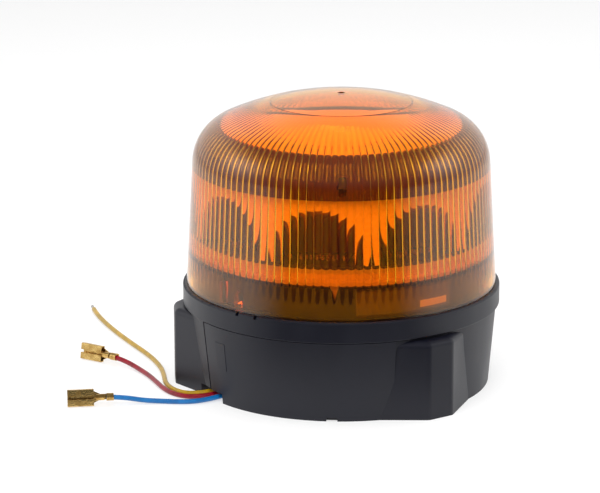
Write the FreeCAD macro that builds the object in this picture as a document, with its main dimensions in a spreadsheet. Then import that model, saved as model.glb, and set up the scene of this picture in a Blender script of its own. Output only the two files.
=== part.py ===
# Amber LED warning beacon: a fluted lens on a round base with three mounting lobes.
# Millimetres. The origin is on the beacon's axis in the plane that the base stands on, +Z is up.
# Bearings are degrees about +Z, from -Y (0) towards +X (90). The lobes are at -90, 30 and 150.
import FreeCAD, Part
import math
import os
import re

import Sketcher

Vector = FreeCAD.Vector

doc = FreeCAD.newDocument("led_beacon")
sheet = doc.addObject("Spreadsheet::Sheet", "dims")

DIMENSIONS = {
    # foot housing
    "foot_height": 37.0,
    "foot_base_radius": 69.3,
    "foot_crown_radius": 72.5,
    "foot_cavity_radius": 66.0,
    "foot_floor": 6.0,
    "foot_window_radius": 52.0,
    "foot_flange": 4.0,
    "foot_flange_radius": 57.0,
    "housing_screw_circle": 61.5,
    "apron_base_radius": 69.9,
    "apron_crown_radius": 73.9,
    "apron_span": 78.0,
    "apron_rise": 0.35,
    "slit_width": 0.8,
    "knockout_low": 17.0,
    "knockout_high": 30.0,
    "knockout_proud": 0.12,
    "lobe_reach": 78.4,
    "lobe_end_half_width": 6.5,
    "lobe_root_half_width": 26.0,
    "lobe_root": 64.5,
    "lobe_height": 36.4,
    "lobe_round": 3.0,
    "edge_notch_width": 5.0,
    "edge_notch_height": 1.8,
    "channel_height": 4.6,
    "channel_mouth": 23.0,
    # mounting
    "mounting_circle": 65.0,
    "insert_radius": 4.0,
    "insert_length": 12.0,
    "insert_bore": 2.5,
    "boss_radius": 6.8,
    "boss_height": 15.0,
    # foot cover
    "cover_radius": 57.8,
    "cover_recess": 0.6,
    "cover_thickness": 2.4,
    "cover_screw_circle": 54.8,
    "countersink": 1.4,
    "vent_circle": 28.0,
    "vent_neck_radius": 3.0,
    "vent_cap_radius": 5.0,
    "vent_cap": 1.2,
    # deck housing
    "collar_radius": 74.0,
    "seam_gap": 0.5,
    "seam_radius": 71.0,
    "deck_top": 44.0,
    "deck_under": 41.0,
    "collar_top": 47.0,
    "spigot_radius": 67.1,
    "spigot_wall": 3.0,
    "spigot_top": 61.8,
    "lug_recess": 1.6,
    "recess_floor": 47.4,
    "link_hole_radius": 8.0,
    "mark_width": 1.6,
    "mark_depth": 1.4,
    "notch_half_width": 1.5,
    "notch_depth": 7.5,
    "label_low": 48.4,
    "label_high": 60.2,
    "label_thickness": 0.25,
    "label_span": 40.0,
    # lens
    "rim_radius": 72.3,
    "shoulder_start_radius": 69.05,
    "shoulder_start_height": 104.2,
    "shoulder_round": 22.4,
    "crown_round": 137.5,
    "lens_apex": 135.9,
    "lens_wall": 2.6,
    "lug_radius": 66.0,
    "lug_tip": 56.4,
    "rib_tip": 58.0,
    "rib_half_width": 0.6,
    # lens seal
    "seal_outer_radius": 72.0,
    "seal_width": 2.2,
    "seal_height": 1.8,
    # light module
    "carrier_flange_radius": 65.0,
    "carrier_flange": 1.6,
    "skirt_radius": 63.8,
    "skirt_wall": 1.3,
    "skirt_low": 53.5,
    "module_radius": 60.0,
    "carrier_top": 66.0,
    "module_core": 9.0,
    "drum_radius": 56.0,
    "pillar_radius": 4.0,
    "pillar_circle": 20.0,
    "reflector_screw_circle": 30.0,
    "led_inner": 46.0,
    "led_side": 3.5,
    "led_height": 1.4,
    "spreader_thickness": 2.0,
    "board_thickness": 1.6,
    "reflector_core": 27.0,
    "reflector_top": 100.7,
    "bowl_centre": 59.0,
    "bowl_depth": 23.0,
    "bowl_half_width": 24.3,
    "bowl_height": 37.5,
    "bowl_drop": 12.0,
    "bowl_step": 1.7,
    "crown_ring_base_radius": 65.0,
    "crown_ring_rim_radius": 56.5,
    "crown_ring_rim": 118.6,
    "crown_ring_curve": 32.0,
    "crown_ring_wall": 2.0,
    "crown_post_radius": 5.0,
    "crown_post_top": 115.6,
    "crown_plate_radius": 53.5,
    "crown_plate_thickness": 1.6,
    "crown_skirt_radius": 51.0,
    "crown_skirt_wall": 1.5,
    # driver
    "driver_radius": 46.0,
    "driver_base": 16.0,
    "driver_thickness": 1.6,
    "driver_screw_circle": 40.0,
    "standoff_radius": 3.0,
    "capacitor_radius": 5.0,
    "capacitor_height": 13.0,
    "capacitor_circle": 27.0,
    "coil_radius": 9.0,
    "coil_bore": 3.5,
    "coil_height": 8.0,
    "coil_circle": 26.0,
    # small hardware
    "screw_shank": 1.5,
    "screw_head": 2.8,
    "head_height": 2.0,
    # leads
    "lead_radius": 1.15,
    "gland_inner": 50.0,
    "gland_outer": 59.0,
    "gland_width": 14.0,
    "gland_top": 6.6,
    "tail_height": 4.8,
    "tip_length": 5.0,
    # receptacles
    "receptacle_half_width": 3.85,
    "receptacle_floor": -1.75,
    "receptacle_height": 2.6,
    "receptacle_sheet": 0.4,
    "receptacle_length": 12.0,
}

for row, (alias, value) in enumerate(DIMENSIONS.items(), start=1):
    sheet.set(f"A{row}", alias)
    sheet.set(f"B{row}", str(value))
    sheet.setAlias(f"B{row}", alias)
doc.recompute()

# Bearings of the features round the beacon, and how far the lens turns to lock.
LOBES = (-90, 30, 150)
GLAND = -63.5
APRON = -24.7
SLIT = -63.2
KNOCKOUT = -54
EDGE_NOTCH = -8.5
HOUSING_SCREWS = 10
COVER_SCREWS = GLAND + 45
VENT = 120
GUIDE_RIBS = -56
SNAP_LUGS = -47.5
TWIST = 12
RECESS_START = GUIDE_RIBS - 1.5
RECESS_END = SNAP_LUGS + TWIST + 2.5
LOCK_MARKS = (-44.3, -36.5)
SIGHT_NOTCH = -7.5
LABEL = 20.5
REFLECTOR_SCREWS = 11
CROWN_SCREWS = 41
SHIELD = -4.8
LINK = 45
nodes = []


def linked(expression):
    """The expression with each dimension's name pointed at the sheet."""
    return re.sub(r"[a-z_]+", lambda m: "dims." + m[0] if m[0] in DIMENSIONS else m[0], str(expression))


def number(expression):
    """The value that an expression has now."""
    result = sheet.evalExpression(linked(expression))
    return float(getattr(result, "Value", result))


def bind(item, **sizes):
    """Bind properties to expressions; two underscores stand for a dot."""
    for name, expression in sizes.items():
        item.setExpression(name.replace("__", "."), linked(expression))


def node(item, label):
    """Name a finished sub-part; its file takes the same name."""
    item.Label = label
    nodes.append(item)
    return item


def compass(bearing):
    """Unit vector of a bearing."""
    return Vector(math.sin(math.radians(bearing)), -math.cos(math.radians(bearing)), 0)


def turned(bearing):
    """Rotation that takes local +X onto the bearing's outward direction."""
    return FreeCAD.Rotation(Vector(0, 0, 1), bearing - 90)


def around(circle, bearing):
    """Expressions of the x and y of a point on a circle."""
    return f"({circle}) * sin({bearing} deg)", f"-({circle}) * cos({bearing} deg)"


# ---- part primitives -------------------------------------------------------

def cylinder(name, radius, height, z="0", at=("0", "0")):
    item = doc.addObject("Part::Cylinder", name)
    bind(item, Radius=radius, Height=height)
    bind(item, Placement__Base__x=at[0], Placement__Base__y=at[1], Placement__Base__z=z)
    return item


def box(name, bearing, inner, outer, width, low, high, offset="0"):
    """Block on a bearing, from one radius to another, shifted sideways by offset."""
    item = doc.addObject("Part::Box", name)
    bind(item, Length=f"({outer}) - ({inner})", Width=width, Height=f"({high}) - ({low})")
    item.Placement.Rotation = turned(bearing)
    side = f"(({offset}) - ({width}) / 2)"
    x = f"({inner}) * sin({bearing} deg) + {side} * cos({bearing} deg)"
    y = f"-({inner}) * cos({bearing} deg) + {side} * sin({bearing} deg)"
    bind(item, Placement__Base__x=x, Placement__Base__y=y, Placement__Base__z=low)
    return item


def cut(name, base, *tools):
    if len(tools) > 1:
        tool = fuse(name + "_tool", *tools)
    else:
        tool = tools[0]
    item = doc.addObject("Part::Cut", name)
    item.Base = base
    item.Tool = tool
    return item


def fuse(name, *shapes):
    item = doc.addObject("Part::MultiFuse", name)
    item.Shapes = list(shapes)
    return item


def group(name, items):
    """Identical loose pieces kept together in one node."""
    item = doc.addObject("Part::Compound", name)
    item.Links = list(items)
    return item


def screw(name, at, seat, reach, upward=True):
    """Pan-head screw: the head bears on seat, the shank runs from there to reach."""
    low, high = (seat, reach) if upward else (reach, seat)
    head_z = f"({seat}) - head_height" if upward else seat
    shank = cylinder(name + "_shank", "screw_shank", f"({high}) - ({low})", low, at)
    head = cylinder(name + "_head", "screw_head", "head_height", head_z, at)
    return fuse(name, shank, head)


# ---- part design bodies ----------------------------------------------------

def new_body(name):
    body = doc.addObject("PartDesign::Body", name)
    return body


def origin_feature(body, role):
    return next(item for item in body.Origin.OriginFeatures if item.Role == role)


def new_sketch(body, name, role, height=None, bearing=None):
    """Sketch on one of the body's own planes, lifted by height or turned to a bearing."""
    sketch = body.newObject("Sketcher::SketchObject", name)
    sketch.AttachmentSupport = [(origin_feature(body, role), "")]
    sketch.MapMode = "FlatFace"
    if bearing is not None:
        sketch.AttachmentOffset = FreeCAD.Placement(
            Vector(), FreeCAD.Rotation(Vector(0, 1, 0), bearing - 90))
    if height is not None:
        bind(sketch, AttachmentOffset__Base__z=height)
    return sketch


def outline(sketch, corners):
    """Closed outline through corners (x, y) or (x, y, radius, side): those bend the side that follows."""
    points = [Vector(number(corner[0]), number(corner[1]), 0) for corner in corners]
    ends = []
    for index, start in enumerate(points):
        stop = points[(index + 1) % len(points)]
        if len(corners[index]) == 4:
            radius = number(corners[index][2])
            middle = (start + stop) * 0.5
            chord = stop - start
            across = Vector(-chord.y, chord.x, 0).normalize()
            rise = radius - math.sqrt(radius ** 2 - (chord.Length / 2) ** 2)
            forward = corners[index][3] > 0
            crest = middle - across * rise * corners[index][3]
            arc = Part.Arc(start, crest, stop) if forward else Part.Arc(stop, crest, start)
            side = sketch.addGeometry(arc)
            ends.append((side, 1 if forward else 2, 2 if forward else 1))
            ring = sketch.addConstraint(Sketcher.Constraint("Radius", side, radius))
            sketch.setExpression(f"Constraints[{ring}]", linked(corners[index][2]))
        else:
            side = sketch.addGeometry(Part.LineSegment(start, stop))
            ends.append((side, 1, 2))
    for index, (side, _, last) in enumerate(ends):
        following, first, _ = ends[(index + 1) % len(ends)]
        sketch.addConstraint(Sketcher.Constraint("Coincident", side, last, following, first))
    for (side, first, _), corner, point in zip(ends, corners, points):
        for kind, axis, expression, value in (("DistanceX", -2, corner[0], point.x),
                                              ("DistanceY", -1, corner[1], point.y)):
            if abs(value) < 1e-9:
                sketch.addConstraint(Sketcher.Constraint("PointOnObject", side, first, axis))
                continue
            place = sketch.addConstraint(Sketcher.Constraint(kind, -1, 1, side, first, value))
            sketch.setExpression(f"Constraints[{place}]", linked(expression))


def turn(body, name, corners, angle=None, bearing=None, kind="Revolution"):
    """Solid of revolution about +Z, or a groove, from an outline of (radius, height) corners."""
    sketch = new_sketch(body, name + "_section", "XZ_Plane", bearing=bearing)
    outline(sketch, corners)
    feature = body.newObject("PartDesign::" + kind, name)
    feature.Profile = sketch
    feature.ReferenceAxis = (sketch, ["V_Axis"])
    feature.Angle = 360
    if angle is not None:
        feature.Midplane = True
        bind(feature, Angle=angle)
    doc.recompute()
    return feature


def turned_body(label, corners):
    """A piece that is one plain solid of revolution."""
    body = new_body(label + "_body")
    turn(body, label + "_turned", corners)
    return body


def pocket_block(body, name, bearing, inner, outer, width, low, high, flare=None):
    """Pocket cut upwards from low to high over a strip on a bearing, wider at the outer end if flared."""
    sketch = new_sketch(body, name + "_plan", "XY_Plane", height=low)
    end = flare or width
    sketch.AttachmentOffset = FreeCAD.Placement(Vector(), turned(bearing))
    outline(sketch, [(inner, f"-({width}) / 2"), (outer, f"-({end}) / 2"),
                     (outer, f"({end}) / 2"), (inner, f"({width}) / 2")])
    before = body.Shape.Volume
    feature = body.newObject("PartDesign::Pocket", name)
    feature.Profile = sketch
    bind(feature, Length=f"({high}) - ({low})")
    feature.Reversed = True
    doc.recompute()
    if not body.Shape.Volume < before - 0.1:
        raise RuntimeError(name + " cuts nothing")
    return feature


def repeat(body, name, feature, count):
    """The feature repeated evenly about +Z."""
    pattern = body.newObject("PartDesign::PolarPattern", name)
    pattern.Originals = [feature]
    pattern.Axis = (origin_feature(body, "Z_Axis"), [""])
    pattern.Angle = 360
    pattern.Occurrences = count
    body.Tip = pattern
    doc.recompute()
    return pattern


def fillet(body, name, radius, wanted):
    """Round every edge of the body for which wanted(edge) is true."""
    tip = body.Tip
    names = [f"Edge{i}" for i, edge in enumerate(tip.Shape.Edges, start=1) if wanted(edge)]
    feature = body.newObject("PartDesign::Fillet", name)
    feature.Base = (tip, names)
    bind(feature, Radius=radius)
    doc.recompute()
    return feature


def ring_edge(radius, height, slack=0.05):
    """Test for a full circle about +Z."""
    def wanted(edge):
        curve = edge.Curve
        if not isinstance(curve, Part.Circle):
            return False
        level = abs(curve.Center.z - number(height)) < slack
        return level and abs(curve.Radius - number(radius)) < slack and len(edge.Vertexes) == 1
    return wanted


def upright_edge(near, far):
    """Test for an edge that runs up a lobe, between two distances from the axis."""
    def wanted(edge):
        if not 20 < edge.BoundBox.ZLength < number("lobe_height") + 0.1:
            return False
        middle = edge.valueAt((edge.FirstParameter + edge.LastParameter) / 2)
        return near < math.hypot(middle.x, middle.y) < far
    return wanted


def round_feature(body, name, kind, radius, circle, bearing, low, high, count=1):
    """Round pad or pocket from low to high on a circle about +Z, repeated count times."""
    sketch = new_sketch(body, name + "_plan", "XY_Plane", height=low)
    sketch.AttachmentOffset = FreeCAD.Placement(Vector(), turned(bearing))
    ring = sketch.addGeometry(Part.Circle(Vector(number(circle), 0, 0), Vector(0, 0, 1), number(radius)))
    if number(circle) == 0:
        sketch.addConstraint(Sketcher.Constraint("Coincident", ring, 3, -1, 1))
    else:
        sketch.addConstraint(Sketcher.Constraint("PointOnObject", ring, 3, -1))
        place = sketch.addConstraint(Sketcher.Constraint("DistanceX", -1, 1, ring, 3, number(circle)))
        sketch.setExpression(f"Constraints[{place}]", linked(circle))
    size = sketch.addConstraint(Sketcher.Constraint("Radius", ring, number(radius)))
    sketch.setExpression(f"Constraints[{size}]", linked(radius))
    before = body.Shape.Volume
    feature = body.newObject("PartDesign::" + kind, name)
    feature.Profile = sketch
    feature.Reversed = kind == "Pocket"
    bind(feature, Length=f"({high}) - ({low})")
    doc.recompute()
    if kind == "Pocket" and not body.Shape.Volume < before - 0.1:
        raise RuntimeError(name + " cuts nothing")
    if count > 1:
        feature = repeat(body, name + "_row", feature, count)
    return feature


def wall_feature(body, name, kind, bearing, distance, corners, depth):
    """Pad or pocket of an upright outline (sideways, height) at a distance from the axis.

    A pad grows outwards from the distance and a pocket cuts inwards from it."""
    sketch = new_sketch(body, name + "_face", "XZ_Plane")
    sketch.AttachmentOffset = FreeCAD.Placement(Vector(), FreeCAD.Rotation(Vector(0, 1, 0), bearing))
    bind(sketch, AttachmentOffset__Base__x=f"({distance}) * sin({bearing} deg)",
         AttachmentOffset__Base__z=f"({distance}) * cos({bearing} deg)")
    outline(sketch, corners)
    feature = body.newObject("PartDesign::" + kind, name)
    feature.Profile = sketch
    bind(feature, Length=depth)
    doc.recompute()
    return feature


# ---- foot housing ----------------------------------------------------------

def make_foot_housing():
    """Black moulded skirt with three mounting lobes, a front apron and the lead channel."""
    body = new_body("foot_housing_body")
    turn(body, "skirt", [("0", "0"), ("foot_base_radius", "0"),
                         ("foot_crown_radius", "foot_height"), ("0", "foot_height")])
    plan = new_sketch(body, "lobe_plan", "XY_Plane")
    plan.AttachmentOffset = FreeCAD.Placement(Vector(), turned(LOBES[0]))
    outline(plan, [("lobe_root", "-lobe_root_half_width"), ("lobe_reach", "-lobe_end_half_width"),
                   ("lobe_reach", "lobe_end_half_width"), ("lobe_root", "lobe_root_half_width")])
    lobe = body.newObject("PartDesign::Pad", "lobe")
    lobe.Profile = plan
    bind(lobe, Length="lobe_height")
    doc.recompute()
    repeat(body, "lobes", lobe, len(LOBES))
    reach = number("lobe_reach")
    fillet(body, "lobe_corners", "lobe_round + 0.5", upright_edge(reach - 2, reach + 3))

    def lobe_rim(edge):
        level = abs(edge.BoundBox.ZMin - number("lobe_height")) < 0.01 and edge.BoundBox.ZLength < 0.01
        middle = edge.valueAt((edge.FirstParameter + edge.LastParameter) / 2)
        return level and math.hypot(middle.x, middle.y) > reach - 1
    fillet(body, "lobe_rims", "lobe_round", lobe_rim)

    slope = "(apron_crown_radius - apron_base_radius) / foot_height"
    lip = "seam_radius + 0.2"
    turn(body, "apron", [("foot_cavity_radius", "0"), ("apron_base_radius", "0"),
                         ("apron_crown_radius", "foot_height + apron_rise"),
                         (lip, "foot_height + apron_rise"),
                         (lip, "foot_height"), ("foot_cavity_radius", "foot_height")], "apron_span", APRON)
    turn(body, "knockout", [
        ("foot_cavity_radius", "knockout_low"),
        (f"apron_base_radius + knockout_low * {slope} + knockout_proud", "knockout_low"),
        (f"apron_base_radius + knockout_high * {slope} + knockout_proud", "knockout_high"),
        ("foot_cavity_radius", "knockout_high")], "5", KNOCKOUT)
    turn(body, "cavity", [("0", "-1"), ("cover_radius + 0.2", "-1"),
                          ("cover_radius + 0.2", "cover_recess + cover_thickness"),
                          ("foot_window_radius", "cover_recess + cover_thickness"),
                          ("foot_window_radius", "foot_floor"), ("foot_cavity_radius", "foot_floor"),
                          ("foot_cavity_radius", "foot_height - foot_flange"),
                          ("foot_flange_radius", "foot_height - foot_flange"),
                          ("foot_flange_radius", "foot_height + 2"), ("0", "foot_height + 2")],
         kind="Groove")
    round_feature(body, "boss", "Pad", "boss_radius", "mounting_circle", LOBES[0], "0", "boss_height", 3)
    round_feature(body, "insert_seat", "Pocket", "insert_radius", "mounting_circle", LOBES[0],
                  "0", "insert_length", 3)
    pocket_block(body, "gland_seat", GLAND, "gland_inner - 2", "gland_outer", "gland_width",
                 "0", "gland_top")
    pocket_block(body, "lead_channel", GLAND, "gland_outer - 0.5", "lobe_reach", "gland_width", "0",
                 "channel_height", "channel_mouth")
    pocket_block(body, "apron_slit", SLIT, "foot_base_radius - 1.2", "lobe_reach", "slit_width", "0",
                 "foot_height + 1")
    pocket_block(body, "edge_notch", EDGE_NOTCH, "foot_base_radius - 1.6", "lobe_reach", "edge_notch_width",
                 "0", "edge_notch_height")
    round_feature(body, "deck_screw_hole", "Pocket", "screw_shank + 0.1", "housing_screw_circle",
                  HOUSING_SCREWS, "foot_height - foot_flange", "foot_height + 1", 6)
    round_feature(body, "cover_screw_hole", "Pocket", "screw_shank + 0.05", "cover_screw_circle",
                  COVER_SCREWS, "cover_recess + cover_thickness", "foot_floor", 4)
    return node(body, "foot_housing")


def make_foot_cover():
    """Plate that closes the underside, with its countersunk screws and a breather."""
    disc = cylinder("cover_disc", "cover_radius", "cover_thickness", "cover_recess")
    cuts = [box("cover_notch", GLAND, "gland_inner - 0.2", "cover_radius + 2", "gland_width + 0.4",
                "0", "5"),
            cylinder("vent_hole", "vent_neck_radius + 0.05", "5", "0", around("vent_circle", VENT))]
    screws = []
    for index in range(4):
        at = around("cover_screw_circle", COVER_SCREWS + 90 * index)
        cuts.append(cylinder(f"cover_hole_{index}", "screw_shank + 0.1", "5", "0", at))
        for role, extra in (("sink", "0.05"), ("head", "0")):
            cone = doc.addObject("Part::Cone", f"cover_{role}_{index}")
            bind(cone, Radius1=f"screw_head + {extra}", Radius2=f"screw_shank + {extra}",
                 Height="countersink", Placement__Base__x=at[0], Placement__Base__y=at[1],
                 Placement__Base__z="cover_recess")
            if role == "sink":
                cuts.append(cone)
        shank = cylinder(f"cover_shank_{index}", "screw_shank", "foot_floor - cover_recess - 0.4",
                         "cover_recess", at)
        screws.append(fuse(f"cover_screw_{index}", cone, shank))
    node(cut("cover_plate", disc, *cuts), "foot_cover")
    node(group("cover_screw_set", screws), "foot_cover_screws")
    at = around("vent_circle", VENT)
    neck = cylinder("vent_neck", "vent_neck_radius", "cover_thickness", "cover_recess", at)
    cap = cylinder("vent_cap_disc", "vent_cap_radius", "vent_cap", "cover_recess + cover_thickness", at)
    node(fuse("vent", neck, cap), "vent_plug")


def make_mounting_inserts():
    """Threaded brass inserts in the lobes, plain bored at the thread's minor diameter."""
    inserts = []
    for index, bearing in enumerate(LOBES):
        at = around("mounting_circle", bearing)
        body = cylinder(f"insert_body_{index}", "insert_radius", "insert_length", "0", at)
        bore = cylinder(f"insert_bore_{index}", "insert_bore", "insert_length + 2", "-1", at)
        inserts.append(cut(f"insert_{index}", body, bore))
    node(group("insert_set", inserts), "mounting_inserts")


# ---- deck housing ----------------------------------------------------------

def make_deck_housing():
    """Black moulded deck: collar, seal groove and the spigot that the lens fits over."""
    body = new_body("deck_housing_body")
    turn(body, "deck", [
        ("0", "deck_under"), ("foot_flange_radius", "deck_under"), ("foot_flange_radius", "foot_height"),
        ("seam_radius", "foot_height"), ("seam_radius", "foot_height + seam_gap"),
        ("collar_radius", "foot_height + seam_gap"), ("collar_radius", "collar_top"),
        ("seal_outer_radius", "collar_top"), ("seal_outer_radius", "collar_top - seal_height"),
        ("seal_outer_radius - seal_width", "collar_top - seal_height"),
        ("seal_outer_radius - seal_width", "collar_top"), ("spigot_radius", "collar_top"),
        ("spigot_radius", "spigot_top"), ("spigot_radius - spigot_wall", "spigot_top"),
        ("spigot_radius - spigot_wall", "deck_top"), ("0", "deck_top")])
    fillet(body, "collar_top_edge", "0.9", ring_edge("collar_radius", "collar_top"))
    fillet(body, "collar_low_edge", "0.5", ring_edge("collar_radius", "foot_height + seam_gap"))
    recess = turn(body, "lug_recess_cut", [
        ("spigot_radius - lug_recess", "recess_floor"), ("spigot_radius + 1", "recess_floor"),
        ("spigot_radius + 1", "spigot_top + 1"), ("spigot_radius - lug_recess", "spigot_top + 1")],
        RECESS_END - RECESS_START, (RECESS_START + RECESS_END) / 2, kind="Groove")
    repeat(body, "lug_recesses", recess, 3)
    wall_feature(body, "sight_notch_cut", "Pocket", SIGHT_NOTCH, "spigot_radius + 1",
                 [("-notch_half_width", "spigot_top + 1"), ("0", "spigot_top - notch_depth"),
                  ("notch_half_width", "spigot_top + 1")], "spigot_wall * 2")
    for index, bearing in enumerate(LOCK_MARKS):
        pocket_block(body, f"lock_mark_{index}", bearing, "rim_radius - 0.2", "collar_radius + 1",
                     "mark_width", "collar_top - mark_depth", "collar_top + 1")
    round_feature(body, "link_hole", "Pocket", "link_hole_radius", "0", 0, "deck_under", "deck_top")
    round_feature(body, "deck_pilot", "Pocket", "screw_shank + 0.05", "housing_screw_circle",
                  HOUSING_SCREWS, "foot_height", "deck_under + 1.2", 6)
    return node(body, "deck_housing")


def make_housing_screws():
    screws = []
    for index in range(6):
        at = around("housing_screw_circle", HOUSING_SCREWS + 60 * index)
        screws.append(screw(f"housing_screw_{index}", at, "foot_height - foot_flange", "deck_under + 1"))
    node(group("housing_screw_set", screws), "housing_screws")


def make_rating_label():
    """Blank adhesive label on the front of the spigot."""
    body = new_body("rating_label_body")
    outer = "spigot_radius + label_thickness"
    turn(body, "label", [("spigot_radius", "label_low"), (outer, "label_low"),
                         (outer, "label_high"), ("spigot_radius", "label_high")], "label_span", LABEL)
    node(body, "rating_label")


# ---- lens ------------------------------------------------------------------

def dome(name, inset):
    """Solid dome: a draughted wall, a rounded shoulder and a shallow crown, all moved in by inset."""
    slope = "(rim_radius - shoulder_start_radius) / (shoulder_start_height - collar_top)"
    wall = doc.addObject("Part::Cone", name + "_wall")
    bind(wall, Radius1=f"rim_radius - {inset}", Height="100",
         Radius2=f"rim_radius - {inset} - 100 * {slope}", Placement__Base__z="collar_top")
    crown = doc.addObject("Part::Sphere", name + "_crown")
    bind(crown, Radius=f"crown_round - {inset}", Placement__Base__z="lens_apex - crown_round")
    both = doc.addObject("Part::MultiCommon", name + "_blank")
    both.Shapes = [wall, crown]
    doc.recompute()
    rounded = doc.addObject("Part::Fillet", name)
    rounded.Base = both
    radius = number(f"shoulder_round - {inset}")
    edges = []
    for index, edge in enumerate(both.Shape.Edges, start=1):
        if not edge.Degenerated and edge.Closed and edge.BoundBox.ZMin > number("shoulder_start_height"):
            edges.append((index, radius, radius))
    rounded.Edges = edges
    doc.recompute()
    return rounded


def make_lens_dome():
    """Amber lens: a shell with three snap lugs and three guide ribs inside its rim."""
    shell = cut("lens_shell", dome("lens_outer", "0"), dome("lens_inner", "lens_wall"))
    lugs = new_body("lens_lugs_body")
    lugs.AllowCompound = True
    reach = "rim_radius - 1.6 - lug_radius"
    low = "recess_floor + 0.3"
    lug = wall_feature(lugs, "lug", "Pad", SNAP_LUGS, "lug_radius", [
        ("-1.1", low), ("1.1", low), ("1.3", "collar_top + 3.5"), ("1.6", "collar_top + 6"),
        ("0.8", "lug_tip"), ("-1.9", "collar_top + 2.9"), ("-1.1", "collar_top + 2.4")], reach)
    repeat(lugs, "lug_row", lug, 3)
    ribs = new_body("lens_ribs_body")
    ribs.AllowCompound = True
    rib = wall_feature(ribs, "rib", "Pad", GUIDE_RIBS, "lug_radius", [
        ("-rib_half_width", low), ("rib_half_width", low),
        ("rib_half_width", "rib_tip"), ("-rib_half_width", "rib_tip")], reach)
    repeat(ribs, "rib_row", rib, 3)
    node(fuse("lens", shell, lugs, ribs), "lens_dome")


def make_lens_seal():
    node(turned_body("lens_seal", [
        ("seal_outer_radius - seal_width + 0.1", "collar_top - seal_height"),
        ("seal_outer_radius - 0.1", "collar_top - seal_height"),
        ("seal_outer_radius - 0.1", "collar_top"),
        ("seal_outer_radius - seal_width + 0.1", "collar_top")]), "lens_seal")


# ---- light module ----------------------------------------------------------

BOWLS = [-15 + 45 * index for index in range(8)]
BOWL_STEPS = 3
STACK_TOP = "carrier_top + spreader_thickness + board_thickness"


def holed(name, blank, circles, low, high):
    """The blank with three screw holes on each of the circles."""
    holes = []
    for circle, bearing in circles:
        for index in range(3):
            at = around(circle, bearing + 120 * index)
            holes.append(cylinder(f"{name}_hole_{circle}_{index}", "screw_shank + 0.1",
                                  f"({high}) - ({low}) + 2", f"({low}) - 1", at))
    return cut(name, blank, *holes)


def make_light_module():
    """White carrier, aluminium spreader and LED board, stacked on three posts."""
    posts = (("pillar_circle", 0), ("reflector_screw_circle", REFLECTOR_SCREWS))
    flange_top = "spigot_top + carrier_flange"
    carrier = turned_body("carrier", [
        ("module_core", flange_top), ("drum_radius", flange_top), ("drum_radius", "spigot_top"),
        ("skirt_radius - skirt_wall", "spigot_top"), ("skirt_radius - skirt_wall", "skirt_low"),
        ("skirt_radius", "skirt_low"), ("skirt_radius", "spigot_top"),
        ("carrier_flange_radius", "spigot_top"), ("carrier_flange_radius", flange_top),
        ("module_radius", flange_top), ("module_radius", "carrier_top"), ("module_core", "carrier_top")])
    node(holed("carrier_drilled", carrier, posts, flange_top, "carrier_top"), "module_carrier")
    spreader = turned_body("spreader", [
        ("module_core", "carrier_top"), ("module_radius - 0.4", "carrier_top"),
        ("module_radius - 0.4", "carrier_top + spreader_thickness"),
        ("module_core", "carrier_top + spreader_thickness")])
    node(holed("spreader_drilled", spreader, posts, "carrier_top", "carrier_top + spreader_thickness"),
         "heat_spreader")
    board = cylinder("led_disc", "module_radius", "board_thickness", "carrier_top + spreader_thickness")
    node(holed("board_drilled", board, posts, "carrier_top + spreader_thickness", STACK_TOP), "led_board")

    chips = []
    for bowl, bearing in enumerate(BOWLS):
        for place, offset in enumerate(("-7", "0", "7")):
            chips.append(box(f"led_{bowl}_{place}", bearing, "led_inner", "led_inner + led_side", "led_side",
                             STACK_TOP, f"{STACK_TOP} + led_height", offset))
    node(group("led_set", chips), "led_chips")
    node(box("socket", LINK, "-6", "6", "5", STACK_TOP, f"{STACK_TOP} + 5"), "link_socket")
    node(box("link", LINK, "-5", "5", "1.4", "driver_base + driver_thickness",
             "carrier_top + spreader_thickness"), "board_link")

    pillars, module_screws, reflector_screws = [], [], []
    for index in range(3):
        at = around("pillar_circle", 120 * index)
        blank = cylinder(f"pillar_blank_{index}", "pillar_radius", f"{flange_top} - deck_top",
                         "deck_top", at)
        bore = cylinder(f"pillar_bore_{index}", "screw_shank + 0.05", "8", f"{flange_top} - 7", at)
        pillars.append(cut(f"pillar_{index}", blank, bore))
        module_screws.append(screw(f"module_screw_{index}", at, STACK_TOP, f"{flange_top} - 6",
                                   upward=False))
        at = around("reflector_screw_circle", REFLECTOR_SCREWS + 120 * index)
        reflector_screws.append(screw(f"reflector_screw_{index}", at, flange_top, f"{STACK_TOP} + 8"))
    node(group("pillar_set", pillars), "carrier_pillars")
    node(group("module_screw_set", module_screws), "module_screws")
    node(group("reflector_screw_set", reflector_screws), "reflector_screws")


def make_reflector_ring():
    """One moulding with eight stepped half-bowls that throw the light outwards."""
    ring = turned_body("reflector_blank", [
        ("reflector_core", STACK_TOP), ("module_radius", STACK_TOP),
        ("module_radius", "reflector_top"), ("reflector_core", "reflector_top")])
    tools = []
    for index, bearing in enumerate(BOWLS):
        at = around("bowl_centre", bearing)
        for step in range(BOWL_STEPS):
            bowl = doc.addObject("Part::Ellipsoid", f"bowl_{index}_{step}")
            bind(bowl, Radius1=f"bowl_height - {step} * bowl_step",
                 Radius2=f"bowl_depth * {step + 1} / {BOWL_STEPS}",
                 Radius3=f"bowl_half_width - {step} * bowl_step",
                 Placement__Base__x=at[0], Placement__Base__y=at[1],
                 Placement__Base__z=f"{STACK_TOP} - bowl_drop")
            bowl.Placement.Rotation = turned(bearing)
            tools.append(bowl)
    for index in range(3):
        at = around("reflector_screw_circle", REFLECTOR_SCREWS + 120 * index)
        tools.append(cylinder(f"reflector_pilot_{index}", "screw_shank + 0.05", "9.5",
                              f"{STACK_TOP} - 1", at))
        at = around("reflector_screw_circle", CROWN_SCREWS + 120 * index)
        tools.append(cylinder(f"crown_pilot_{index}", "screw_shank + 0.05", "12", "reflector_top - 11", at))
    node(cut("reflector", ring, *tools), "reflector_ring")


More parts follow.
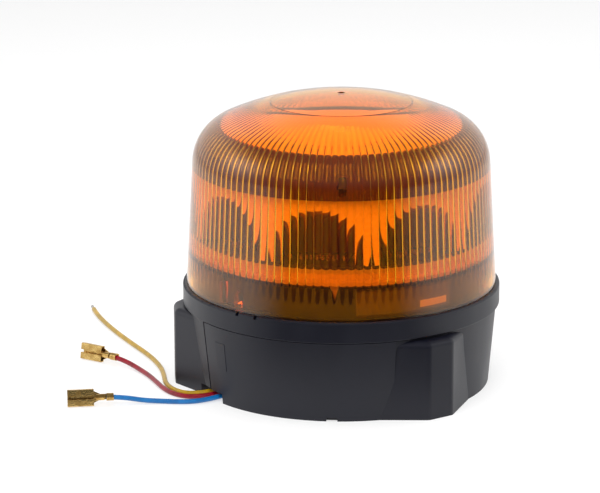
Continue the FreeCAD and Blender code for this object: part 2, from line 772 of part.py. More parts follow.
def make_crown():
    """Dark ring that follows the lens's shoulder, the pale plate inside it and their screws."""
    body = new_body("crown_ring_body")
    floor = "reflector_top + crown_ring_wall"
    turn(body, "crown_bowl", [
        ("0", "reflector_top"), ("crown_ring_base_radius", "reflector_top", "crown_ring_curve", 1),
        ("crown_ring_rim_radius", "crown_ring_rim"),
        ("crown_ring_rim_radius - 1.8", "crown_ring_rim", "crown_ring_curve - 2", -1),
        ("crown_ring_base_radius - 2.2", floor), ("crown_post_radius", floor),
        ("crown_post_radius", "crown_post_top"), ("0", "crown_post_top")])
    shield = [("-2.8", "109.6"), ("-2.8", "105.6"), ("-1.9", "103.6"), ("0", "102.4"), ("1.9", "103.6"),
              ("2.8", "105.6"), ("2.8", "109.6"), ("0", "110.6")]
    wall_feature(body, "shield_slot", "Pocket", SHIELD, "crown_ring_base_radius + 1", shield, "9")
    round_feature(body, "crown_hole", "Pocket", "screw_shank + 0.1", "reflector_screw_circle", CROWN_SCREWS,
                  "reflector_top", floor, 3)
    round_feature(body, "crown_post_bore", "Pocket", "screw_shank + 0.05", "0", 0,
                  "crown_post_top - 9", "crown_post_top + 1")
    node(body, "crown_ring")
    under, top = "crown_post_top", "crown_post_top + crown_plate_thickness"
    inside = "crown_skirt_radius - crown_skirt_wall"
    node(turned_body("crown_plate", [
        ("screw_shank + 0.1", under), (inside, under), (inside, floor), ("crown_skirt_radius", floor),
        ("crown_skirt_radius", under), ("crown_plate_radius", under), ("crown_plate_radius", top),
        ("screw_shank + 0.1", top)]), "crown_plate")
    node(screw("plate_screw", ("0", "0"), top, f"{top} - 9", upward=False), "crown_plate_screw")
    screws = []
    for index in range(3):
        at = around("reflector_screw_circle", CROWN_SCREWS + 120 * index)
        screws.append(screw(f"crown_screw_{index}", at, floor, "reflector_top - 10", upward=False))
    node(group("crown_screw_set", screws), "crown_screws")


# ---- driver ----------------------------------------------------------------

def make_driver():
    """Power supply and flash control on a board that stands on the foot cover."""
    floor, under, top = "cover_recess + cover_thickness", "driver_base", "driver_base + driver_thickness"
    blank = cylinder("driver_disc", "driver_radius", "driver_thickness", under)
    node(holed("driver_drilled", blank, (("driver_screw_circle", 0),), under, top), "driver_board")
    posts, screws = [], []
    for index in range(3):
        at = around("driver_screw_circle", 120 * index)
        post = cylinder(f"driver_post_{index}", "standoff_radius", f"{under} - ({floor})", floor, at)
        bore = cylinder(f"driver_bore_{index}", "screw_shank + 0.05", "8", f"{under} - 7", at)
        posts.append(cut(f"driver_standoff_{index}", post, bore))
        screws.append(screw(f"driver_screw_{index}", at, top, f"{under} - 6", upward=False))
    node(group("driver_post_set", posts), "driver_standoffs")
    node(group("driver_screw_set", screws), "driver_screws")
    capacitors = []
    for index, bearing in enumerate((-150, -118)):
        capacitors.append(cylinder(f"capacitor_{index}", "capacitor_radius", "capacitor_height", top,
                                   around("capacitor_circle", bearing)))
    node(group("capacitor_set", capacitors), "driver_capacitors")
    at = around("coil_circle", 100)
    coil = cut("coil", cylinder("coil_outer", "coil_radius", "coil_height", top, at),
               cylinder("coil_hole", "coil_bore", "coil_height + 4", f"{top} - 2", at))
    node(coil, "driver_inductor")
    chips = [box("controller", 20, "22", "32", "10", top, f"{top} + 1.8")]
    for index, bearing in enumerate((-60, -35, 150)):
        chips.append(box(f"switch_{index}", bearing, "28", "37", "6.5", top, f"{top} + 2.4"))
    node(group("chip_set", chips), "driver_chips")


# ---- leads -----------------------------------------------------------------

LEAD_ROUTES = {
    "yellow": [(-54.7, -22.6, 2.2), (-60.9, -25.7, 2.1), (-67.5, -28.0, 1.7), (-74.5, -26.5, 1.3),
               (-80.0, -20.5, 1.3), (-83.2, -11.0, 1.3), (-83.5, 2.0, 1.3), (-84.8, 15.5, 1.3),
               (-89.4, 33.0, 1.3), (-98.0, 54.5, 1.3), (-106.0, 76.0, 1.3), (-111.4, 93.5, 1.3),
               (-114.6, 106.0, 1.3), (-116.2, 115.5, 1.3)],
    "red": [(-52.8, -26.3, 2.2), (-59.0, -29.4, 2.1), (-66.0, -32.1, 1.6), (-73.5, -31.8, 1.3),
            (-80.2, -26.6, 1.3), (-84.4, -18.2, 1.3), (-87.2, -8.6, 1.3), (-90.6, 2.2, 1.3),
            (-94.8, 11.4, 1.5), (-99.0, 17.6, 2.4), (-103.6, 21.6, 3.6), (-108.0, 25.0, 4.15)],
    "blue": [(-50.9, -30.1, 2.2), (-57.0, -33.3, 2.1), (-64.0, -37.0, 1.6), (-72.0, -39.1, 1.3),
             (-80.0, -38.3, 1.3), (-87.6, -36.6, 1.3), (-94.4, -36.4, 1.8), (-102.7, -37.0, 3.6),
             (-110.8, -37.4, 4.15)],
}


def soft_path(points):
    """Straight runs joined by tangent arcs that are as large as the runs allow."""
    points = [Vector(*point) for point in points]
    edges, radii = [], []
    reached = points[0]
    for before, corner, after in zip(points, points[1:], points[2:]):
        arriving, leaving = corner - before, after - corner
        half_turn = arriving.getAngle(leaving) / 2
        trim = 0.45 * min(arriving.Length, leaving.Length)
        arriving.normalize()
        leaving.normalize()
        radius = trim / math.tan(half_turn)
        start, stop = corner - arriving * trim, corner + leaving * trim
        inward = (leaving - arriving).normalize()
        middle = corner + inward * (radius / math.cos(half_turn) - radius)
        edges.append(Part.LineSegment(reached, start).toShape())
        edges.append(Part.Arc(start, middle, stop).toShape())
        radii.append(round(radius, 1))
        reached = stop
    edges.append(Part.LineSegment(reached, points[-1]).toShape())
    return Part.Wire(edges), radii


def make_lead(colour):
    """One insulated lead, from the gland to its far end."""
    points = LEAD_ROUTES[colour]
    path, radii = soft_path(points)
    heading = Vector(*points[1]) - Vector(*points[0])
    radius = number("lead_radius")
    section = Part.Wire(Part.Circle(Vector(*points[0]), heading, radius).toShape())
    tube = path.makePipeShell([section], True, False)
    share = tube.Volume / (math.pi * radius ** 2 * path.Length)
    print(f"{colour} lead: {path.Length:.1f} mm, volume share {share:.3f}, radii {radii}")
    item = doc.addObject("Part::Feature", colour + "_lead_tube")
    item.Shape = tube
    node(item, colour + "_lead")


def make_lead_tip():
    """Bare tinned strands past the yellow insulation."""
    last, before = (Vector(*point) for point in reversed(LEAD_ROUTES["yellow"][-2:]))
    tip = doc.addObject("Part::Cylinder", "tinned_strands")
    bind(tip, Radius="lead_radius - 0.35", Height="tip_length")
    tip.Placement = FreeCAD.Placement(last, FreeCAD.Rotation(Vector(0, 0, 1), last - before))
    node(tip, "yellow_lead_tip")


def make_gland():
    """Rubber gland, the lead tails behind it and the three-way block under the driver board."""
    node(box("gland", GLAND, "gland_inner", "gland_outer", "gland_width", "0.1", "gland_top"), "lead_gland")
    tails = []
    for index, offset in enumerate((-4.2, 0, 4.2)):
        tail = doc.addObject("Part::Cylinder", f"tail_{index}")
        bind(tail, Radius="lead_radius", Height="gland_inner - driver_radius")
        start = compass(GLAND) * number("driver_radius") + compass(GLAND + 90) * offset
        start.z = number("tail_height")
        tail.Placement = FreeCAD.Placement(start, FreeCAD.Rotation(Vector(0, 0, 1), compass(GLAND)))
        tails.append(tail)
    node(group("tail_set", tails), "lead_tails")
    node(box("block", GLAND, "driver_radius - 9", "driver_radius", "15", "3.4", "driver_base"), "lead_block")


def make_terminal(colour):
    """Brass push-on receptacle crimped on the lead, lying on its edge."""
    body = new_body(colour + "_terminal_body")
    half, base, top = "receptacle_half_width", "receptacle_floor", "receptacle_floor + receptacle_height"
    curl = f"{base} + 1.3"
    face = new_sketch(body, colour + "_receptacle_section", "YZ_Plane", height="9")
    right = [(half, base), (half, top), ("0.7", top), ("0.7", curl), ("1.15", curl),
             ("1.15", f"{top} - receptacle_sheet"),
             (f"{half} - receptacle_sheet", f"{top} - receptacle_sheet"),
             (f"{half} - receptacle_sheet", f"{base} + receptacle_sheet")]
    left = [(f"-({across})", up) for across, up in reversed(right)]
    outline(face, right + left)
    receptacle = body.newObject("PartDesign::Pad", colour + "_receptacle")
    receptacle.Profile = face
    bind(receptacle, Length="receptacle_length")
    doc.recompute()

    def rolled(edge):
        along = edge.BoundBox.XLength > 10
        side = abs(abs(edge.BoundBox.Center.y) - number(half)) < 0.01
        return along and side
    fillet(body, colour + "_rolled_edges", "0.4", rolled)
    neck = new_sketch(body, colour + "_neck_plan", "XY_Plane", height=base)
    outline(neck, [("0", "-1.3"), ("6", "-1.3"), ("9.5", "-3.0"), ("9.5", "3.0"), ("6", "1.3"),
                   ("0", "1.3")])
    strip = body.newObject("PartDesign::Pad", colour + "_neck")
    strip.Profile = neck
    bind(strip, Length="receptacle_sheet + 0.1")
    doc.recompute()
    for name, low, high, outer, inner in (("grip", "0", "3.3", "1.75", "lead_radius"),
                                          ("crimp", "4.2", "8", "1.45", "0.75")):
        ring = new_sketch(body, f"{colour}_{name}_section", "YZ_Plane", height=low)
        for radius in (outer, inner):
            loop = ring.addGeometry(Part.Circle(Vector(0, 0, 0), Vector(0, 0, 1), number(radius)))
            ring.addConstraint(Sketcher.Constraint("Coincident", loop, 3, -1, 1))
            size = ring.addConstraint(Sketcher.Constraint("Radius", loop, number(radius)))
            ring.setExpression(f"Constraints[{size}]", linked(radius))
        barrel = body.newObject("PartDesign::Pad", f"{colour}_{name}")
        barrel.Profile = ring
        bind(barrel, Length=f"{high} - {low}")
        doc.recompute()
    last, before = (Vector(*point) for point in reversed(LEAD_ROUTES[colour][-2:]))
    along = Vector(last.x - before.x, last.y - before.y, 0).normalize()
    facing = Vector(0, 0, 1).cross(along)
    if facing.y > 0:
        facing = -facing
    tilt = math.radians(10)
    normal = facing * math.cos(tilt) + Vector(0, 0, 1) * math.sin(tilt)
    body.Placement = FreeCAD.Placement(last - along * 3.3,
                                       FreeCAD.Rotation(along, normal.cross(along), normal, "XYZ"))
    node(body, colour + "_terminal")


def main():
    make_foot_housing()
    make_foot_cover()
    make_mounting_inserts()
    make_deck_housing()
    make_housing_screws()
    make_rating_label()
    make_lens_dome()
    make_lens_seal()
    make_light_module()
    make_reflector_ring()
    make_crown()
    make_driver()
    for colour in LEAD_ROUTES:
        make_lead(colour)
    make_lead_tip()
    make_gland()
    make_terminal("red")
    make_terminal("blue")
    doc.recompute()

    faults = [item.Name for item in doc.Objects if {"Invalid", "Error"} & set(item.State)]
    faults += [item.Label for item in nodes if item.Shape.isNull() or not item.Shape.isValid()]
    if faults:
        raise RuntimeError(f"failed: {faults}")
    os.makedirs("parts", exist_ok=True)
    for item in nodes:
        item.Shape.exportStep(f"parts/{item.Label}.step")
        print(f"{item.Label}: {len(item.Shape.Solids)} solids, {item.Shape.Volume:.1f} mm3")


main()
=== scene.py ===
import math

import bpy
from mathutils import Matrix, Vector


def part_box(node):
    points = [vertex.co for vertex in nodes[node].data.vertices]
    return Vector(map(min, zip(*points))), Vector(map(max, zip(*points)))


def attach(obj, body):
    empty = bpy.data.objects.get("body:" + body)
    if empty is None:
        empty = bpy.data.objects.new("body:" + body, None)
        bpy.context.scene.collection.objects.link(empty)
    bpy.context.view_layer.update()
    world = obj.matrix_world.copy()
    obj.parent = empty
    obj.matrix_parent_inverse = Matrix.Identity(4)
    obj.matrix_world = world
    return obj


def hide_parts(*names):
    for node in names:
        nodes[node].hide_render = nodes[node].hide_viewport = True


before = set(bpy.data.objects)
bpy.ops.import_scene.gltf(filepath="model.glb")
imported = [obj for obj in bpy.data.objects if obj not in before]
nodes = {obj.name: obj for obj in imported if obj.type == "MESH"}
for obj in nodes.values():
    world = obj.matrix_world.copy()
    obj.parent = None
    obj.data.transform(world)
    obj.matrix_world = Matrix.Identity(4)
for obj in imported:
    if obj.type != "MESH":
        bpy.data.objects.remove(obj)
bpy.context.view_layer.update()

# ---- Camera ----------------------------------------------------------------
# A long lens stands a little above the beacon and looks down at its front,
# turned a few degrees so that the leads run out to the left.

camera_bearing = math.radians(-5.0)
camera_rise = math.radians(14.74)
camera_reach = 1.3
camera_aim = Vector((0.0, 0.0, 0.070))
sight = Vector((math.sin(camera_bearing) * math.cos(camera_rise),
                -math.cos(camera_bearing) * math.cos(camera_rise),
                math.sin(camera_rise)))
bpy.ops.object.camera_add(location=camera_aim + sight * camera_reach,
                          rotation=sight.to_track_quat("Z", "Y").to_euler())
camera = bpy.context.object
camera.data.sensor_width = 36.0
camera.data.lens = 167.3
camera.data.shift_x = -0.0688
camera.data.shift_y = -0.0258
bpy.context.scene.camera = camera

# ---- Leads -----------------------------------------------------------------
# Three short PVC-insulated leads leave the rubber gland under the skirt.
# The red and the blue end in brass receptacles, the yellow in tinned strands.


class Value:
    """A shader value; arithmetic on it adds Math nodes to its tree."""

    def __init__(self, tree, socket):
        self.tree = tree
        self.socket = socket

    def math(self, operation, *others):
        node = self.tree.nodes.new("ShaderNodeMath")
        node.operation = operation
        for place, item in zip(node.inputs, (self, *others)):
            feed(self.tree, place, item)
        return Value(self.tree, node.outputs[0])

    def __add__(self, other):
        return self.math("ADD", other)

    def __mul__(self, other):
        return self.math("MULTIPLY", other)

    def __sub__(self, other):
        return self.math("SUBTRACT", other)

    def __rsub__(self, other):
        return self * -1 + other

    def step(self, low, high):
        """0 below low, 1 above high, smooth between."""
        node = self.tree.nodes.new("ShaderNodeMapRange")
        node.interpolation_type = "SMOOTHSTEP"
        for place, item in zip(node.inputs, (self, low, high, 0.0, 1.0)):
            feed(self.tree, place, item)
        return Value(self.tree, node.outputs[0])


def feed(tree, place, item):
    """Link a value to a socket, or set the socket to a plain number or colour."""
    if isinstance(item, Value):
        tree.links.new(item.socket, place)
    elif isinstance(item, (tuple, list)) and place.type == "RGBA":
        place.default_value = (*item[:3], 1.0)
    else:
        place.default_value = item


class Finish:
    """A material with one Principled surface and short calls that add its other nodes."""

    def __init__(self, name, **surface):
        self.material = bpy.data.materials.new(name)
        self.material.use_nodes = True
        self.tree = self.material.node_tree
        self.shader = self.tree.nodes["Principled BSDF"]
        self.set(**surface)

    def set(self, **surface):
        for name, item in surface.items():
            feed(self.tree, self.shader.inputs[name.replace("_", " ")], item)

    def add(self, kind, output=0, **places):
        """One output of a new node of a kind, with the named sockets filled."""
        node = self.tree.nodes.new("ShaderNode" + kind)
        for name, item in places.items():
            feed(self.tree, node.inputs[name.replace("_", " ")], item)
        return Value(self.tree, node.outputs[output])

    def where(self, stretch=(1.0, 1.0, 1.0)):
        """The piece's own coordinates in metres, stretched."""
        found = self.add("TexCoord", output=3)
        return self.add("Mapping", Vector=found, Scale=stretch)

    def axes(self):
        """The piece's own x, y and z in metres."""
        parts = self.add("SeparateXYZ", Vector=self.where()).socket.node.outputs
        return [Value(self.tree, part) for part in parts]

    def noise(self, size, detail=3.0, stretch=(1.0, 1.0, 1.0)):
        """Cloudy noise from 0 to 1 with lumps of a size in metres."""
        return self.add("TexNoise", Vector=self.where(stretch), Scale=1.0 / size, Detail=detail)

    def mix(self, factor, first, second):
        node = self.tree.nodes.new("ShaderNodeMix")
        node.data_type = "RGBA"
        for place, item in zip((node.inputs[0], node.inputs[6], node.inputs[7]), (factor, first, second)):
            feed(self.tree, place, item)
        return Value(self.tree, node.outputs[2])

    def bump(self, height, depth, strength=1.0):
        """Relief of a depth in metres on the surface."""
        self.set(Normal=self.add("Bump", Height=height, Distance=depth, Strength=strength))


def insulation(name, colour, shade):
    """Glossy extruded PVC with faint clouds of colour and a slightly uneven surface."""
    finish = Finish(name, Roughness=0.32)
    finish.set(Base_Color=finish.mix(finish.noise(0.004).step(0.35, 0.7), colour, shade))
    finish.bump(finish.noise(0.0016, 2.0), 0.00012)
    return finish.material


LEADS = {
    "yellow": ((0.46, 0.27, 0.006), (0.34, 0.21, 0.010), 0.1703, [
        (-0.0547, -0.0226, 0.0022), (-0.0609, -0.0257, 0.0021), (-0.0675, -0.0280, 0.0017),
        (-0.0745, -0.0265, 0.0013), (-0.0800, -0.0205, 0.0013), (-0.0832, -0.0110, 0.0013),
        (-0.0835, 0.0020, 0.0013), (-0.0848, 0.0155, 0.0013), (-0.0894, 0.0330, 0.0013),
        (-0.0980, 0.0545, 0.0013), (-0.1060, 0.0760, 0.0013), (-0.1114, 0.0935, 0.0013),
        (-0.1146, 0.1060, 0.0013), (-0.1162, 0.1155, 0.0013)]),
    "red": ((0.26, 0.003, 0.014), (0.17, 0.002, 0.010), 0.0901, [
        (-0.0528, -0.0263, 0.0022), (-0.0590, -0.0294, 0.0021), (-0.0660, -0.0321, 0.0016),
        (-0.0735, -0.0318, 0.0013), (-0.0802, -0.0266, 0.0013), (-0.0844, -0.0182, 0.0013),
        (-0.0872, -0.0086, 0.0013), (-0.0906, 0.0022, 0.0013), (-0.0948, 0.0114, 0.0015),
        (-0.0990, 0.0176, 0.0024), (-0.1036, 0.0216, 0.0036), (-0.1080, 0.0250, 0.00415)]),
    "blue": ((0.006, 0.15, 0.42), (0.005, 0.11, 0.33), 0.0622, [
        (-0.0509, -0.0301, 0.0022), (-0.0570, -0.0333, 0.0021), (-0.0640, -0.0370, 0.0016),
        (-0.0720, -0.0391, 0.0013), (-0.0800, -0.0383, 0.0013), (-0.0876, -0.0366, 0.0013),
        (-0.0944, -0.0364, 0.0018), (-0.1027, -0.0370, 0.0036), (-0.1108, -0.0374, 0.00415)]),
}
lead_diameter = 0.0023

for colour, (light, dark, length, route) in LEADS.items():
    line = bpy.data.curves.new(colour + "_wire", "CURVE")
    line.dimensions = "3D"
    line.bevel_depth = lead_diameter / 2
    line.bevel_resolution = 5
    line.use_fill_caps = True
    line.resolution_u = 10
    spline = line.splines.new("NURBS")
    spline.points.add(len(route) - 1)
    for point, place in zip(spline.points, route):
        point.co = (*place, 1.0)
    spline.order_u = 3
    spline.use_endpoint_u = True
    wire = bpy.data.objects.new(colour + "_wire", line)
    bpy.context.scene.collection.objects.link(wire)
    line.materials.append(insulation(colour + "_insulation", light, dark))
    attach(wire, "base")
    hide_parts(colour + "_lead")


def paint(finish, *names):
    """Give CAD pieces a finish."""
    for name in names:
        nodes[name].data.materials.clear()
        nodes[name].data.materials.append(finish.material)


# ---- Receptacles and bare strands ------------------------------------------
# Push-on receptacles stamped from brass strip and crimped on the leads.
# The yellow lead's strands are tinned and left bare.

stamped = Finish("stamped_brass", Metallic=1.0)
tarnish = stamped.noise(0.003, 4.0).step(0.3, 0.75)
stamped.set(Base_Color=stamped.mix(tarnish, (0.80, 0.55, 0.20), (0.45, 0.26, 0.07)),
            Roughness=tarnish * 0.18 + 0.20)
stamped.bump(stamped.noise(0.0007), 0.00008)
paint(stamped, "red_terminal", "blue_terminal")

tinned = Finish("tinned_strands", Metallic=1.0, Roughness=0.35)
tinned.set(Base_Color=tinned.mix(tinned.noise(0.0006), (0.72, 0.70, 0.66), (0.35, 0.32, 0.29)))
tinned.bump(tinned.noise(0.0004, 2.0), 0.0002)
paint(tinned, "yellow_lead_tip")

# ---- Foot and deck housings ------------------------------------------------
# Two black mouldings in glass-filled nylon and the cover under them. A fine
# moulded grain breaks up the shine, and soft flow marks vary it slightly.


def moulded(name, colour, shade, roughness, grain=0.0005, relief=0.00002, level=0.5):
    """Injection-moulded plastic: fine grain, soft flow marks and a varying shine."""
    finish = Finish(name)
    flow = finish.noise(0.022, 3.0, (1.0, 1.0, 0.45)).step(0.3, 0.72)
    speck = finish.noise(grain, 2.0)
    finish.set(Base_Color=finish.mix(flow, colour, shade), Roughness=flow * 0.08 + speck * 0.05 + roughness,
               Specular_IOR_Level=level)
    finish.bump(speck, relief)
    return finish


nylon = moulded("black_nylon", (0.0055, 0.0058, 0.0115), (0.0075, 0.0080, 0.0145), 0.36, level=0.40)
paint(nylon, "foot_housing", "deck_housing", "foot_cover")

# ---- Label -----------------------------------------------------------------
# A blank film label round the front of the spigot, with a pale panel near its
# right end and a fine printed border.

film = Finish("label_film", Roughness=0.42)
across, depth, height = film.axes()
turn = across.math("ARCTAN2", depth * -1.0)
low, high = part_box("rating_label")
panel_left, panel_right = (0.453, 0.457), (0.673, 0.677)
panel_low, panel_high = (0.0500, 0.0503), (0.0532, 0.0535)
panel = (turn.step(*panel_left) * (1 - turn.step(*panel_right))
         * height.step(*panel_low) * (1 - height.step(*panel_high)))
border = 1 - (height.step(low.z + 0.0006, low.z + 0.0008)
              * (1 - height.step(high.z - 0.0008, high.z - 0.0006)))
ground = film.mix(film.noise(0.006), (0.060, 0.075, 0.030), (0.085, 0.098, 0.040))
film.set(Base_Color=film.mix(panel, film.mix(border, ground, (0.03, 0.035, 0.02)), (0.55, 0.62, 0.24)))
film.bump(film.noise(0.0012), 0.00002)
paint(film, "rating_label")

# ---- Rubber ----------------------------------------------------------------
# The lens seal, the lead gland and the breather are soft black rubber.

rubber = moulded("soft_rubber", (0.016, 0.016, 0.017), (0.024, 0.024, 0.024), 0.62, 0.0008, 0.00004, 0.4)
paint(rubber, "lens_seal", "lead_gland", "vent_plug")

# ---- Light module ----------------------------------------------------------
# A pale carrier drum, the aluminium spreader, the LED board and the ring of
# eight reflector bowls, with the dark crown ring and its pale plate on top.

white = moulded("white_plastic", (0.88, 0.88, 0.86), (0.83, 0.83, 0.81), 0.34)
paint(white, "crown_plate", "crown_plate_screw", "link_socket", "lead_block")

# The carrier's colour is the white plastic painted darker and slightly redder: painted shade.
shaded_white = moulded("white_plastic_painted_shade", (0.60, 0.55, 0.55), (0.54, 0.50, 0.49), 0.40)
paint(shaded_white, "module_carrier")

dark = moulded("dark_plastic", (0.062, 0.034, 0.040), (0.072, 0.040, 0.046), 0.50, level=0.2)
paint(dark, "crown_ring")

metal = Finish("turned_aluminium", Metallic=1.0)
rings = metal.noise(0.0005, 2.0, (1.0, 1.0, 12.0))
metal.set(Base_Color=metal.mix(rings, (0.70, 0.71, 0.73), (0.52, 0.53, 0.55)), Roughness=rings * 0.2 + 0.3)
metal.bump(rings, 0.00002)
paint(metal, "heat_spreader", "carrier_pillars", "driver_standoffs")

mask = moulded("black_mask", (0.020, 0.020, 0.022), (0.032, 0.030, 0.030), 0.35)
paint(mask, "led_board", "driver_chips")

phosphor = Finish("phosphor", Roughness=0.4)
phosphor_clouds = phosphor.noise(0.0012).step(0.4, 0.6)
phosphor.set(Base_Color=phosphor.mix(phosphor_clouds, (0.16, 0.12, 0.04), (0.22, 0.19, 0.12)))
paint(phosphor, "led_chips")

mirror = Finish("metallised_bowl_painted_dark")
face = mirror.where()
east, north, up = mirror.axes()
outside = (east * east + north * north).math("SQRT").step(0.0592, 0.0597)
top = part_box("reflector_ring")[1].z
bare = (outside + up.step(top - 0.0004, top - 0.0002)).math("MINIMUM", 1.0)
smear = mirror.noise(0.003)
# The metallised inside of the bowls is painted dark and reddish, a painted dark reflection, so that it reads
# as dark chrome under any light.
mirror.set(Base_Color=mirror.mix(bare, (0.52, 0.28, 0.30), (0.88, 0.88, 0.86)),
           Metallic=1 - bare, Roughness=smear * 0.12 + 0.38)
facets = mirror.add("TexVoronoi", Vector=face, Scale=420.0)
mirror.bump(facets, 0.0006, 0.6)
paint(mirror, "reflector_ring")

# ---- Driver ----------------------------------------------------------------
# The power supply's board and its parts stand on the foot cover.

board = moulded("green_mask", (0.012, 0.12, 0.05), (0.018, 0.16, 0.07), 0.38)
paint(board, "driver_board")
sleeve = moulded("shrink_sleeve", (0.02, 0.025, 0.06), (0.03, 0.035, 0.08), 0.3)
paint(sleeve, "driver_capacitors")
ferrite = moulded("ferrite", (0.03, 0.03, 0.033), (0.05, 0.05, 0.052), 0.5, 0.0004, 0.00006)
paint(ferrite, "driver_inductor")
ribbon = moulded("grey_insulation", (0.30, 0.30, 0.32), (0.36, 0.36, 0.37), 0.4)
paint(ribbon, "board_link", "lead_tails")

# ---- Fasteners -------------------------------------------------------------
# Zinc-plated thread-forming screws, and brass inserts moulded into the lobes.

zinc = Finish("zinc_plate", Metallic=1.0)
bloom = zinc.noise(0.0012, 3.0)
zinc.set(Base_Color=zinc.mix(bloom, (0.62, 0.64, 0.66), (0.42, 0.43, 0.46)), Roughness=bloom * 0.2 + 0.26)
zinc.bump(zinc.noise(0.0005), 0.00003)
paint(zinc, "foot_cover_screws", "housing_screws", "module_screws", "reflector_screws", "crown_screws",
      "driver_screws")

turned = Finish("turned_brass", Metallic=1.0)
cuts = turned.noise(0.0004, 2.0, (1.0, 1.0, 10.0))
turned.set(Base_Color=turned.mix(cuts, (0.70, 0.50, 0.20), (0.50, 0.33, 0.11)), Roughness=cuts * 0.15 + 0.25)
turned.bump(cuts, 0.00003)
paint(turned, "mounting_inserts")

# ---- Lens ------------------------------------------------------------------
# Amber polycarbonate dome. Its outside is smooth; upright flutes run up the
# inside of the wall and over the shoulder, and fade out over the crown.

rim_radius = 0.0723
rim_height = 0.0470
wall_slope = 0.0568
shoulder = Vector((0.04665, 0.10362))
shoulder_round = 0.0224
shoulder_angles = (math.radians(3.25), math.radians(66.09))
shoulder_steps = 12
crown_centre = Vector((0.0, -0.0016))
crown_round = 0.1375
crown_edge = 0.0558
wall = 0.0026
flutes = 120
flute_steps = 8
flute_depth = 0.00062
disc_radius = 0.0329
flute_foot = 0.0605
flute_foot_run = 0.0012
flute_end_reach = 0.040
flute_fade = 0.022
wall_levels = (rim_height, 0.0520, 0.0606, 0.0612, 0.0620, 0.0760, 0.0900)


def dome_points(inset, crown_steps):
    """Half outline of the dome, from its rim to its apex, moved in by inset."""
    points = []
    for level in wall_levels:
        points.append((rim_radius - inset - wall_slope * (level - rim_height), level))
    for index in range(shoulder_steps + 1):
        angle = shoulder_angles[0] + (shoulder_angles[1] - shoulder_angles[0]) * index / shoulder_steps
        points.append((shoulder.x + (shoulder_round - inset) * math.cos(angle),
                       shoulder.y + (shoulder_round - inset) * math.sin(angle)))
    edge = math.pi / 2 - shoulder_angles[1]
    for index in range(1, crown_steps + 1):
        angle = edge * (1 - index / crown_steps)
        points.append(((crown_round - inset) * math.sin(angle),
                       crown_centre.y + (crown_round - inset) * math.cos(angle)))
    return points


def draw(name, points):
    """An outline drawn by extruding one vertex from point to point on the front plane."""
    bpy.ops.object.select_all(action="DESELECT")
    bpy.ops.mesh.primitive_plane_add(size=0.001)
    piece = bpy.context.object
    piece.name = piece.data.name = name
    bpy.ops.object.mode_set(mode="EDIT")
    bpy.ops.mesh.merge(type="CENTER")
    here = Vector((0.0, 0.0, 0.0))
    for index, (reach, level) in enumerate(points):
        there = Vector((0.0, -reach, level))
        if index == 0:
            bpy.ops.transform.translate(value=there - here)
        else:
            bpy.ops.mesh.extrude_region_move(TRANSFORM_OT_translate={"value": there - here})
        here = there
    return piece


def gate_mark(points):
    """The crown's outline with the moulding's gate pit in the middle and a fine line round the disc."""
    clear_of_gate, clear_of_line = 0.0034, 0.0012
    line_half_width, line_depth = 0.00016, 0.00012
    pit = ((0.0017, 0.0), (0.0014, 0.0011), (0.0008, 0.0012), (0.0, 0.0012))
    line_angle = math.asin(disc_radius / crown_round)
    kept = [point for point in points
            if point[0] > clear_of_gate and abs(point[0] - disc_radius) > clear_of_line]
    for offset, dip in ((line_half_width, 0.0), (0.0, line_depth), (-line_half_width, 0.0)):
        angle = line_angle + offset / crown_round
        kept.append(((crown_round - dip) * math.sin(angle),
                     crown_centre.y + (crown_round - dip) * math.cos(angle)))
    kept.sort(key=lambda point: (point[1] > shoulder.y, -point[0] if point[1] > shoulder.y else point[1]))
    apex = crown_centre.y + crown_round
    return kept + [(reach, apex - dip) for reach, dip in pit]


outside_points = gate_mark(dome_points(0.0, 12))
inside_points = dome_points(wall, 9)
lens = draw("fluted_lens", outside_points + inside_points[::-1] + [outside_points[0]])
bpy.ops.mesh.select_all(action="SELECT")
sector = 2 * math.pi / flutes
bpy.ops.mesh.spin(steps=flute_steps, angle=sector, center=(0, 0, 0), axis=(0, 0, 1))
bpy.ops.object.mode_set(mode="OBJECT")

for vertex in lens.data.vertices:
    reach = math.hypot(vertex.co.x, vertex.co.y)
    level = vertex.co.z
    if level < shoulder.y:
        lean, gap = 0.0, rim_radius - wall_slope * (level - rim_height) - reach
    else:
        away = Vector((reach, level)) - shoulder
        lean = min(math.atan2(away.y, away.x), math.pi / 2)
        if reach > crown_edge:
            gap = shoulder_round - away.length
        else:
            gap = crown_round - (Vector((reach, level)) - crown_centre).length
            lean = math.pi / 2 - math.atan2(reach, level - crown_centre.y)
    if gap < wall * 0.8 or reach < 1e-5:
        continue
    bearing = math.atan2(vertex.co.y, vertex.co.x) + math.pi / 2
    share = abs(bearing) / sector
    started = min(max((level - flute_foot) / flute_foot_run, 0.0), 1.0)
    ended = min(max((reach - flute_end_reach) / flute_fade, 0.0), 1.0) ** 2
    sink = flute_depth * (0.5 - (2 * share - 1) ** 2) * started * ended
    scale = 1 - sink * math.cos(lean) / reach
    vertex.co = (vertex.co.x * scale, vertex.co.y * scale, level - sink * math.sin(lean))

bpy.ops.object.mode_set(mode="EDIT")
bpy.ops.mesh.select_all(action="SELECT")
bpy.ops.mesh.spin(steps=flutes - 1, angle=2 * math.pi - sector, center=(0, 0, 0), axis=(0, 0, 1), dupli=True)
bpy.ops.mesh.select_all(action="SELECT")
bpy.ops.mesh.remove_doubles(threshold=2e-6)
bpy.ops.mesh.normals_make_consistent(inside=False)
bpy.ops.object.mode_set(mode="OBJECT")


lug_count = 3
lug_inner = 0.0660
lug_outer = 0.0688


